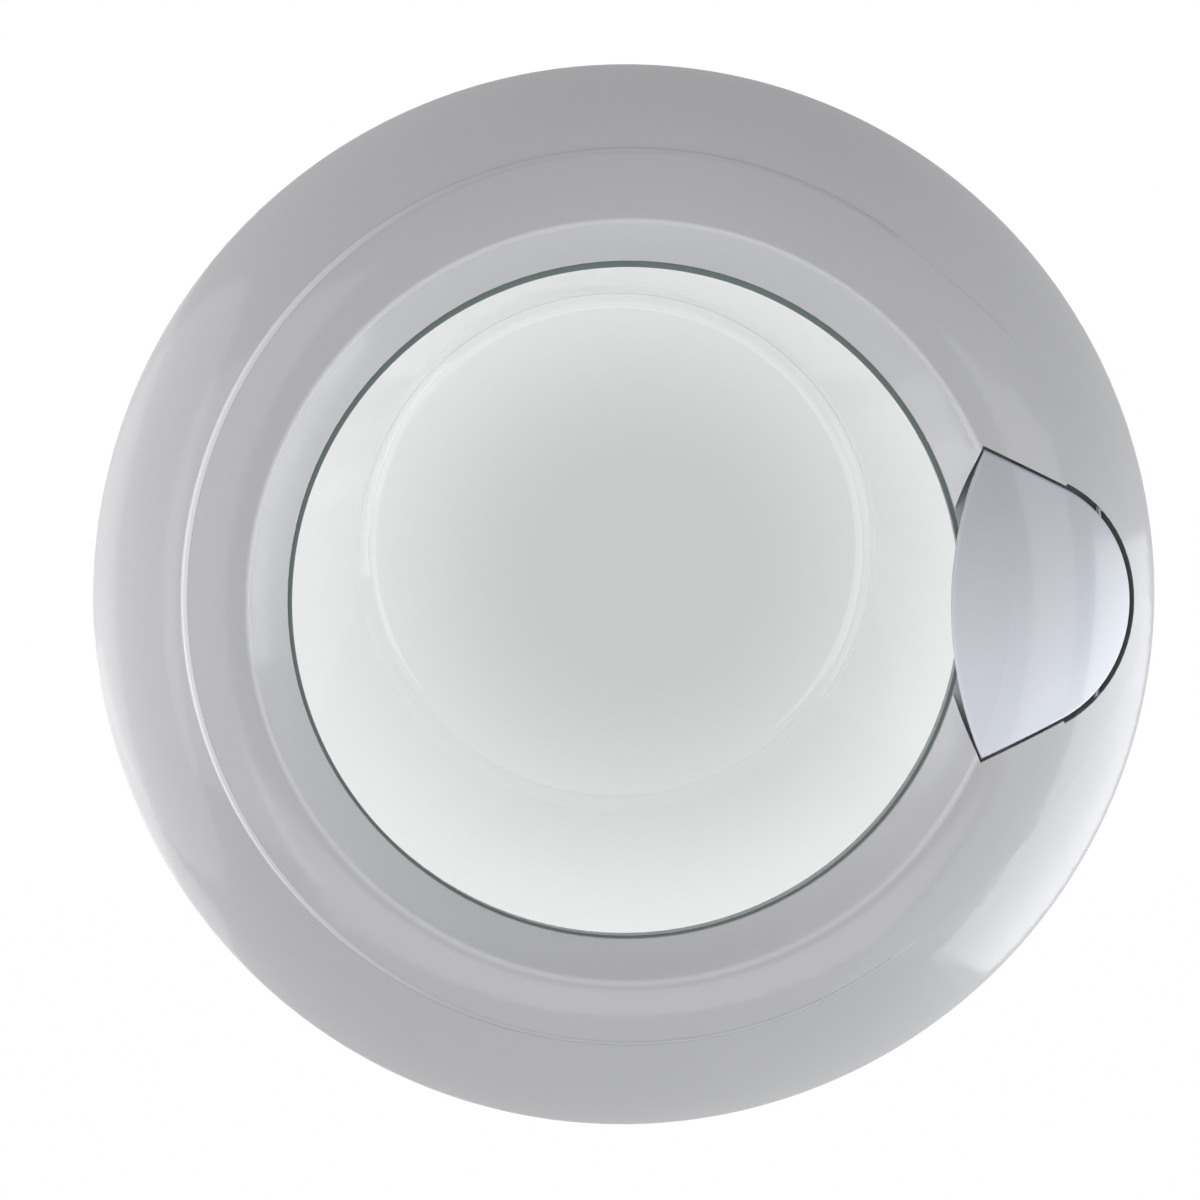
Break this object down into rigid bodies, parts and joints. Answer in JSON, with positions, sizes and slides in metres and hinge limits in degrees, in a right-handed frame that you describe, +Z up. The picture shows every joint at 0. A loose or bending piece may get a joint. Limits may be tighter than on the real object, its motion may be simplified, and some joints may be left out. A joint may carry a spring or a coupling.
{
  "type": "washing machine door",
  "caption": "Round front-loader door: moulded front and rear rings clamp a glass bowl, with a sprung pull handle that turns the latch hook and a side hinge with a cabinet plate.",
  "frame": {"origin": "middle of the hinge bracket's two cabinet holes, on the bracket's rear face", "axes": "+Z up along the hinge, +X from the hinge towards the handle, +Y backwards into the machine, so the face looks along -Y"},
  "size_m": [0.46, 0.1387, 0.46],
  "materials": {
    "front_plastic": "smooth moulded, satin gloss",
    "handle_plastic": "smooth moulded, satin gloss",
    "rear_plastic": "fine moulded texture",
    "clear_glass": "clear pressed glass",
    "zinc_steel": "zinc plated",
    "bright_steel": "drawn",
    "spring_steel": "drawn wire",
    "hook_metal": "die cast",
    "hinge_metal": "die cast",
    "bush_plastic": "moulded"
  },
  "bodies": {
    "hinge_mount": {"hinge_bracket": "hinge_metal", "hinge_pin": "bright_steel", "hinge_pin_clip": "spring_steel"},
    "door": {"front_frame": "front_plastic", "porthole_glass": "clear_glass", "rear_frame": "rear_plastic", "frame_screws": "zinc_steel", "handle_pin": "spring_steel", "handle_spring": "spring_steel", "hook_spring": "spring_steel", "hinge_arm": "hinge_metal", "hinge_bush_upper": "bush_plastic", "hinge_bush_lower": "bush_plastic", "arm_screws": "zinc_steel"},
    "handle": {"handle": "handle_plastic"},
    "hook": {"latch_hook": "hook_metal"}
  },
  "joints": [
    {"name": "door_swing", "type": "hinge", "parent": "hinge_mount", "child": "door", "pos_m": [-0.023, -0.009, 0], "axis": [0, 0, -1], "range_deg": [0, 120]},
    {"name": "handle_pull", "type": "hinge", "parent": "door", "child": "handle", "pos_m": [0.395, -0.03302, 0], "axis": [0, 0, 1], "range_deg": [0, 16], "stiffness_Nm_per_rad": 1.5, "springref_deg": -8.59, "deforming": ["handle_spring"]},
    {"name": "hook_release", "type": "hinge", "parent": "door", "child": "hook", "pos_m": [0.395, -0.03302, 0], "axis": [0, 0, 1], "range_deg": [0, 16], "stiffness_Nm_per_rad": 0.4, "springref_deg": -8.59, "deforming": ["hook_spring"]}
  ],
  "couplings": [
    {"joint": "hook_release", "follows": "handle_pull", "ratio": 1}
  ]
}
